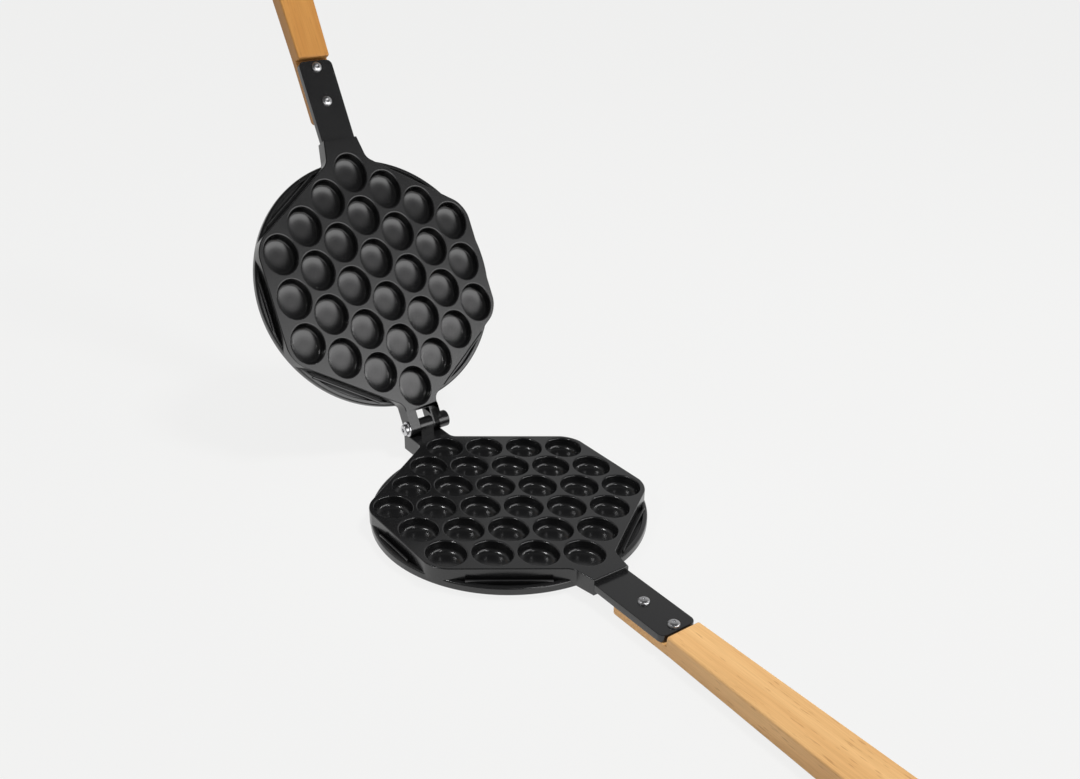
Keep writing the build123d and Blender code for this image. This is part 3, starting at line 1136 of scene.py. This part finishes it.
@dataclass
class WoodenHandle:
    """A wooden handle with its tongue, screws and cap nuts."""

    level: Level
    steel: bpy.types.Material
    sizes: HandleSizes = field(default_factory=HandleSizes)

    def build(self) -> None:
        """Make the handle and its fasteners, and dress them."""
        level = self.level.value
        tilt = 0.0 if self.level is Level.LOWER else HINGE["range_deg"][1]
        # The upper handle gets the beech with painted shade, a darker copy of the lower one.
        wood = (Beech(tilt) if self.level is Level.LOWER else ShadedBeech(tilt)).material()
        dress(self.grip(), wood, level, level + "_handle")
        for place, distance in (("inner", PLATE.inner_screw), ("outer", PLATE.outer_screw)):
            name = level + "_" + place
            dress(self.screw(name, distance), self.steel, level, name + "_screw")
            dress(self.nut(name, distance), self.steel, level, name + "_nut")

    def grip(self) -> bpy.types.Object:
        """Return the wood: the grip with rounded edges, and the tongue behind the tang."""
        s = self.sizes
        half = s.root_half_width
        grip = block("grip", (-half, -s.end, -s.back), (half, -s.shoulder, -s.drop))
        take_up(grip, editing=True)
        pick(grip, Selecting.POINTS, lambda at: at[0].y < -s.end + 1)
        bpy.ops.transform.resize(value=(s.end_half_width / half, 1, 1), center_override=(0, 0, 0))
        pick(grip, Selecting.POINTS, lambda at: at[0].y < -s.end + 1 and at[0].z < -s.back + 1)
        bpy.ops.transform.translate(value=(0, 0, s.root_thickness - s.end_thickness))
        pick(grip, Selecting.EDGES, lambda at: max(p.y for p in at) < -s.end + 1 and abs(at[0].x - at[1].x) < 1)
        bpy.ops.mesh.bevel(offset=s.end_corner, segments=8, affect="EDGES")
        pick(grip, Selecting.EDGES, lambda at: min(p.y for p in at) > -s.shoulder - 1 and min(p.z for p in at) > -s.drop - 1)
        bpy.ops.mesh.bevel(offset=s.shoulder_edge, segments=3, affect="EDGES")
        bpy.ops.object.mode_set(mode="OBJECT")
        soften(grip, s.edge, 4, 60.0)
        tongue = block("tongue", (-half, -s.shoulder - 6, -s.back), (half, -s.tongue_end, -s.tang_back))
        take_up(tongue, editing=True)
        pick(tongue, Selecting.EDGES, lambda at: min(p.y for p in at) > -s.tongue_end - 1 and abs(at[0].x - at[1].x) < 1)
        bpy.ops.mesh.bevel(offset=s.tongue_corner, segments=5, affect="EDGES")
        pick(tongue, Selecting.EDGES, lambda at: max(p.z for p in at) < -s.back + 1)
        bpy.ops.mesh.bevel(offset=1.2, segments=3, affect="EDGES")
        bpy.ops.object.mode_set(mode="OBJECT")
        join_solid(grip, tongue, Joining.FUSE)
        places = [(0, -PLATE.inner_screw), (0, -PLATE.outer_screw)]
        radius = PLATE.screw_radius + PLATE.screw_play
        hole = turned("hole", [(radius, -s.nut_seat - 1), (radius, -s.tang_back + 1)], 24)
        join_solid(grip, copies(hole, places), Joining.CUT)
        pocket = turned("pocket", [(s.nut_radius + PLATE.screw_play, -s.back - 1), (s.nut_radius + PLATE.screw_play, -s.nut_seat)], 6)
        moved(pocket, turn=30, axis="Z")
        join_solid(grip, copies(pocket, places), Joining.CUT)
        return settle(grip, self.level.value + "_beech_handle", self.level.facing(), 40.0)

    def screw(self, name: str, distance: float) -> bpy.types.Object:
        """Return a screw with a low domed head and a hexagon socket.

        Args:
            name: Start of its name.
            distance: Its distance from the plate's centre.

        Returns:
            The screw.
        """
        s = self.sizes
        seat = -PLATE.tang_drop
        tip = s.nut_bore_end - s.screw_tip_gap
        head = s.screw_head_radius
        profile = [(PLATE.screw_radius, -tip), (PLATE.screw_radius, seat), (head, seat), (head, seat + 0.7)]
        profile += [(head * 0.93, seat + 1.25), (head * 0.78, seat + 1.7), (head * 0.6, seat + 1.98), (head * 0.48, seat + s.screw_head_height)]
        piece = turned("screw", profile, 36)
        socket = turned("socket", [(1.35, seat + 0.9), (1.35, seat + 4)], 6)
        join_solid(piece, socket, Joining.CUT)
        moved(piece, (0, -distance, 0))
        return settle(piece, name + "_button_screw", self.level.facing())

    def nut(self, name: str, distance: float) -> bpy.types.Object:
        """Return a six-sided cap nut.

        Args:
            name: Start of its name.
            distance: Its distance from the plate's centre.

        Returns:
            The nut.
        """
        s = self.sizes
        bottom = -s.nut_seat - s.nut_thickness
        profile = [(s.nut_radius * 0.9, bottom), (s.nut_radius, bottom + 0.4), (s.nut_radius, -s.nut_seat)]
        piece = moved(turned("nut", profile, 6), turn=30, axis="Z")
        radius = PLATE.screw_radius + PLATE.bolt_play
        bore = turned("bore", [(radius, -s.nut_bore_end), (radius, -s.nut_seat + 1)], 24)
        join_solid(piece, bore, Joining.CUT)
        moved(piece, (0, -distance, 0))
        return settle(piece, name + "_cap_nut", self.level.facing())


@dataclass
class HingeBolt:
    """The bolt of the hinge with its washer."""

    steel: bpy.types.Material
    head_radius: float = 4.3
    head_height: float = 3.2
    socket_radius: float = 1.7
    socket_depth: float = 1.6
    washer_radius: float = 5.6
    washer_thickness: float = 1.0

    def build(self) -> None:
        """Make and dress the bolt and the washer."""
        place = Matrix.Scale(MM, 4) @ Matrix.Translation((0, PLATE.hinge_y, PLATE.depth + PLATE.hinge_rise)) @ Matrix.Rotation(math.pi / 2, 4, "Y")
        seat = -PLATE.arm_half_width - self.washer_thickness
        end = PLATE.arm_half_width + PLATE.boss_length - PLATE.bolt_end_wall - PLATE.bolt_play
        top = seat - self.head_height
        profile = [(self.head_radius - 1.4, top), (self.head_radius - 0.7, top + 0.25), (self.head_radius - 0.2, top + 0.7)]
        profile += [(self.head_radius, top + 1.3), (self.head_radius, seat), (PLATE.bolt_radius, seat)]
        profile += [(PLATE.bolt_radius, end - 0.5), (PLATE.bolt_radius - 0.5, end)]
        bolt = turned("bolt", profile, 48)
        socket = turned("socket", [(self.socket_radius, top - 1), (self.socket_radius, top + self.socket_depth)], 6)
        join_solid(bolt, socket, Joining.CUT)
        dress(settle(bolt, "hinge_socket_bolt", place), self.steel, "upper", "hinge_bolt")
        rim = self.washer_radius
        washer = turned("washer", [(rim - 0.15, seat), (rim, seat + 0.15), (rim, seat + 0.85), (rim - 0.15, seat + self.washer_thickness)], 48)
        radius = PLATE.bolt_radius + PLATE.bolt_play
        hole = turned("hole", [(radius, seat - 1), (radius, seat + 3)], 48)
        join_solid(washer, hole, Joining.CUT)
        dress(settle(washer, "hinge_flat_washer", place), self.steel, "upper", "hinge_washer")


@dataclass(frozen=True)
class Lamp:
    """A soft spotlight on the lower plate."""

    name: str
    place: tuple[float, float, float]
    radius: float
    power: float
    target: tuple[float, float, float] = (0.0, -0.01, 0.01)
    width: float = 0.3

    def build(self) -> None:
        """Add the light."""
        data = bpy.data.lights.new(self.name, "SPOT")
        data.shadow_soft_size = self.radius
        data.energy = self.power
        reach = Vector(self.target) - Vector(self.place)
        data.spot_size = 2 * math.atan2(self.width / 2, reach.length)
        data.spot_blend = 0.4
        lamp = bpy.data.objects.new(self.name, data)
        bpy.context.scene.collection.objects.link(lamp)
        lamp.location = self.place
        lamp.rotation_euler = reach.to_track_quat("-Z", "Y").to_euler()


@dataclass
class Studio:
    """Pale floor, soft lights and the camera at the photograph's angle."""

    pale: tuple[float, float, float] = (0.893, 0.893, 0.888)
    camera_place: tuple[float, float, float] = (-0.375171, -0.536745, 0.419102)
    camera_right: tuple[float, float, float] = (0.806093, -0.591618, 0.014222)
    camera_down: tuple[float, float, float] = (-0.250833, -0.363335, -0.897257)
    camera_ahead: tuple[float, float, float] = (0.536001, 0.719705, -0.441279)
    lens: float = 37.5584
    floor_size: float = 60.0
    floor_gap: float = 0.0002
    floor_glow: float = 0.94
    paper: tuple[float, float, float] = (0.8, 0.8, 0.8)
    fill: float = 0.45
    room: float = 2.8
    sides: tuple[tuple[float, float], ...] = ((0.0, 0.04), (0.34, 0.04), (0.5, 0.16), (0.65, 0.156), (0.85, 0.152), (1.0, 0.04))
    heights: tuple[tuple[float, float], ...] = ((0.6, 1.0), (0.8, 0.2))
    bright_side: tuple[float, float, float] = (0.3, -0.954, 0.0)
    brightness: tuple[tuple[float, float], ...] = ((0.72, 0.0), (0.765, 0.04), (0.79, 0.12), (0.813, 0.34), (0.833, 0.63), (0.85, 1.0))
    lamps: tuple[Lamp, ...] = (
        Lamp("front_right", (0.93, -0.77, 0.60), 0.08, 5.5),
        Lamp("overhead", (-0.225, -0.954, 0.929), 0.08, 5.0),
        Lamp("back_left", (-0.875, 0.16, 1.01), 0.06, 14.0),
    )
    window_place: tuple[float, float, float] = (0.45, -0.45, 1.45)
    window_size: float = 0.3
    window_power: float = 18.0

    def build(self) -> None:
        """Set up the camera, the world, the floor and the lights."""
        scene = bpy.context.scene
        scene.view_settings.view_transform = "Standard"
        data = bpy.data.cameras.new("camera")
        data.sensor_width = 36.0
        data.lens = self.lens
        data.clip_start = 0.01
        data.clip_end = 200.0
        camera = bpy.data.objects.new("camera", data)
        scene.collection.objects.link(camera)
        turn = Matrix((self.camera_right, [-v for v in self.camera_down], [-v for v in self.camera_ahead])).transposed()
        camera.matrix_world = Matrix.Translation(self.camera_place) @ turn.to_4x4()
        scene.camera = camera
        for lamp in self.lamps:
            lamp.build()
        self.window()
        self.world()
        self.floor()

    def window(self) -> None:
        """Add the main light, a window to the right of the pan."""
        data = bpy.data.lights.new("window", "AREA")
        data.shape = "SQUARE"
        data.size = self.window_size
        data.energy = self.window_power
        lamp = bpy.data.objects.new("window", data)
        bpy.context.scene.collection.objects.link(lamp)
        lamp.location = self.window_place
        lamp.visible_glossy = False
        lamp.rotation_euler = (-Vector(self.window_place)).to_track_quat("-Z", "Y").to_euler()

    def world(self) -> None:
        """Light the pan evenly from all round, and show the pale backdrop and its darker ceiling."""
        bpy.context.scene.world = bpy.data.worlds.new("studio")
        nodes = Nodes(bpy.context.scene.world, "ShaderNodeOutputWorld")
        where = nodes.add("ShaderNodeTexCoord").outputs["Generated"]
        parts = nodes.add("ShaderNodeSeparateXYZ")
        nodes.link(where, parts.inputs[0])
        heights = nodes.ramp(parts.outputs["Z"], [(height, (share,) * 3) for height, share in self.heights])
        around = nodes.add("ShaderNodeTexGradient", gradient_type="RADIAL")
        nodes.link(where, around.inputs["Vector"])
        sides = nodes.ramp(around.outputs["Fac"], [(turn, (share,) * 3) for turn, share in self.sides])
        nearness = nodes.add("ShaderNodeVectorMath", operation="DOT_PRODUCT")
        nodes.link(where, nearness.inputs[0])
        nearness.inputs[1].default_value = self.bright_side
        bright = nodes.ramp(nearness.outputs["Value"], [(near, (share,) * 3) for near, share in self.brightness])
        brighter = nodes.add("ShaderNodeMath", operation="MAXIMUM")
        nodes.link(nodes.product(sides, heights), brighter.inputs[0])
        nodes.link(bright, brighter.inputs[1])
        mirrored = nodes.add("ShaderNodeBackground", Strength=self.room)
        nodes.link(brighter.outputs[0], mirrored.inputs["Color"])
        shown = nodes.add("ShaderNodeBackground", Color=(*self.pale, 1))
        light = nodes.add("ShaderNodeBackground", Color=(1, 1, 1, 1), Strength=self.fill)
        lit = nodes.mixed(nodes.seen_by("Is Glossy Ray"), light, mirrored)
        seen = nodes.mixed(nodes.seen_by("Is Camera Ray", "Is Transmission Ray"), lit, shown)
        nodes.link(seen.outputs[0], nodes.output.inputs["Surface"])

    def floor(self) -> None:
        """Lay the floor, which shows the backdrop's colour and keeps a soft shadow."""
        free_bench()
        bpy.ops.mesh.primitive_plane_add(size=self.floor_size, location=(0, 0, -self.floor_gap))
        floor = bpy.context.object
        floor.name = "floor"
        nodes = Nodes(bpy.data.materials.new("floor"))
        paper = nodes.add("ShaderNodeBsdfDiffuse", Color=(*self.paper, 1))
        glow = nodes.add("ShaderNodeEmission", Color=(*self.pale, 1))
        bright = nodes.mixed(self.floor_glow, paper, glow)
        rays = nodes.seen_by("Is Camera Ray", "Is Glossy Ray", "Is Transmission Ray")
        seen = nodes.mixed(rays, paper, bright)
        nodes.link(seen.outputs[0], nodes.output.inputs["Surface"])
        floor.data.materials.append(nodes.owner)


def main() -> None:
    """Build the studio and every piece of the pan."""
    logging.basicConfig(level=logging.INFO, format="%(message)s")
    Studio().build()
    coat = CoatedCasting().material()
    steel = PlatedSteel().material()
    for level in Level:
        dress(CastPlate(level).build(), coat, level.value, level.value + "_plate")
        WoodenHandle(level, steel).build()
    HingeBolt(steel).build()


if __name__ == "__main__":
    main()
